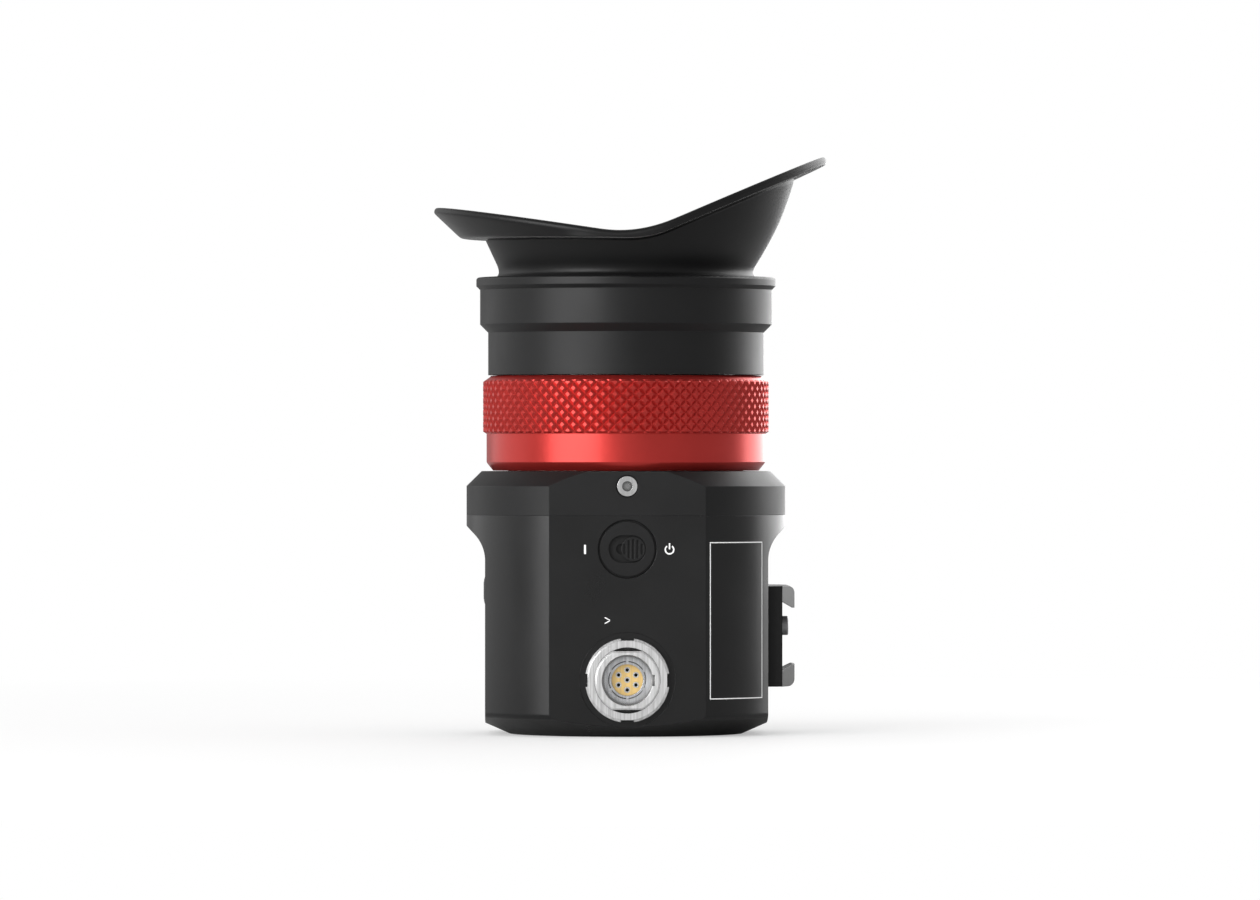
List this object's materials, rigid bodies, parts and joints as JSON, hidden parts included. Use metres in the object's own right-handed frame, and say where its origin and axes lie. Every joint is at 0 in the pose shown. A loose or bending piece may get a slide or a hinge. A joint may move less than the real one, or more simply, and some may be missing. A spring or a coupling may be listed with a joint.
{
  "type": "electronic viewfinder",
  "caption": "Camera electronic viewfinder with a display housing, turning focus ring, sliding eyepiece, swivelling rubber eyecup, power switch, video socket and accessory rail.",
  "frame": {"origin": "centre of the flat display end that the viewfinder stands on", "axes": "+Z along the optical axis from the display end towards the eye, -Y out of the control face with the socket and the switch, +X towards the accessory rail"},
  "size_m": [0.0728, 0.063, 0.1069],
  "materials": {
    "black_anodised": "bead-blasted black anodised",
    "red_anodised": "satin red anodised",
    "bare_aluminium": "satin",
    "steel": "satin",
    "black_steel": "blackened",
    "nickel": "brushed nickel",
    "insulator": "semi-gloss",
    "black_plastic": "matte",
    "pale_plastic": "matte",
    "board_green": "solder mask",
    "chip_black": "matte",
    "flex_amber": "film",
    "seal_rubber": "matte",
    "eyecup_rubber": "soft matte",
    "optical_glass": "coated"
  },
  "bodies": {
    "housing": {"main_housing": "black_anodised", "top_cap": "black_anodised", "base_cover": "black_anodised", "rail_shoe": "black_anodised", "light_baffle": "black_anodised", "display_carrier": "black_anodised", "button_bezel": "black_anodised", "guide_sleeve": "bare_aluminium", "standoffs": "bare_aluminium", "connector_crown": "bare_aluminium", "tie_screws": "steel", "foot_screws": "steel", "lock_screws": "steel", "clamp_screws": "steel", "switch_screws": "steel", "button_screws": "steel", "retaining_clip": "steel", "pin_spring": "steel", "shoe_screws": "black_steel", "connector_shell": "nickel", "connector_nut": "nickel", "connector_contacts": "nickel", "connector_insert": "insulator", "switch_bezel": "black_plastic", "display_clamp": "black_plastic", "switch_body": "black_plastic", "display_panel": "black_plastic", "thrust_washers": "pale_plastic", "button_switch": "pale_plastic", "main_board": "board_green", "button_board": "board_green", "board_components": "chip_black", "display_flex": "flex_amber", "switch_flex": "flex_amber", "connector_flex": "flex_amber", "button_flex": "flex_amber", "cap_seal": "seal_rubber", "connector_seal": "seal_rubber", "display_glass": "optical_glass"},
    "focus_ring": {"focus_ring": "red_anodised", "cam_ring": "bare_aluminium", "cam_screws": "steel"},
    "barrel": {"eyepiece_barrel": "black_anodised", "lens_tube": "black_anodised", "barrel_screws": "steel", "cam_followers": "steel", "field_lens": "optical_glass", "lens_spacers": "black_anodised", "doublet_crown": "optical_glass", "doublet_flint": "optical_glass", "eye_lens": "optical_glass", "lens_retainer": "black_anodised", "ocular_cover": "black_anodised", "eyecup_retainer": "black_anodised"},
    "eyecup": {"eyecup": "eyecup_rubber", "eyecup_ring": "black_plastic"},
    "switch_knob": {"switch_knob": "black_plastic", "switch_carrier": "black_plastic"},
    "side_button": {"side_button": "black_plastic"},
    "lock_pin": {"lock_pin": "steel"}
  },
  "joints": [
    {"name": "focus_ring_turn", "type": "hinge", "parent": "housing", "child": "focus_ring", "pos_m": [0, 0, 0.0573], "axis": [0, 0, 1], "range_deg": [0, 110]},
    {"name": "barrel_slide", "type": "slide", "parent": "housing", "child": "barrel", "axis": [0, 0, 1], "range_m": [0, 0.005]},
    {"name": "eyecup_turn", "type": "hinge", "parent": "barrel", "child": "eyecup", "pos_m": [0, 0, 0.0825], "axis": [0, 0, 1], "continuous": true},
    {"name": "power_switch_slide", "type": "slide", "parent": "housing", "child": "switch_knob", "axis": [-1, 0, 0], "range_m": [0, 0.0022]},
    {"name": "side_button_press", "type": "slide", "parent": "housing", "child": "side_button", "axis": [1, 0, 0], "range_m": [0, 0.00025], "stiffness_N_per_m": 400},
    {"name": "lock_pin_press", "type": "slide", "parent": "housing", "child": "lock_pin", "axis": [-1, 0, 0], "range_m": [0, 0.00137], "stiffness_N_per_m": 500}
  ],
  "couplings": [
    {"joint": "focus_ring_turn", "follows": "barrel_slide", "rad_per_m": 383.97}
  ]
}
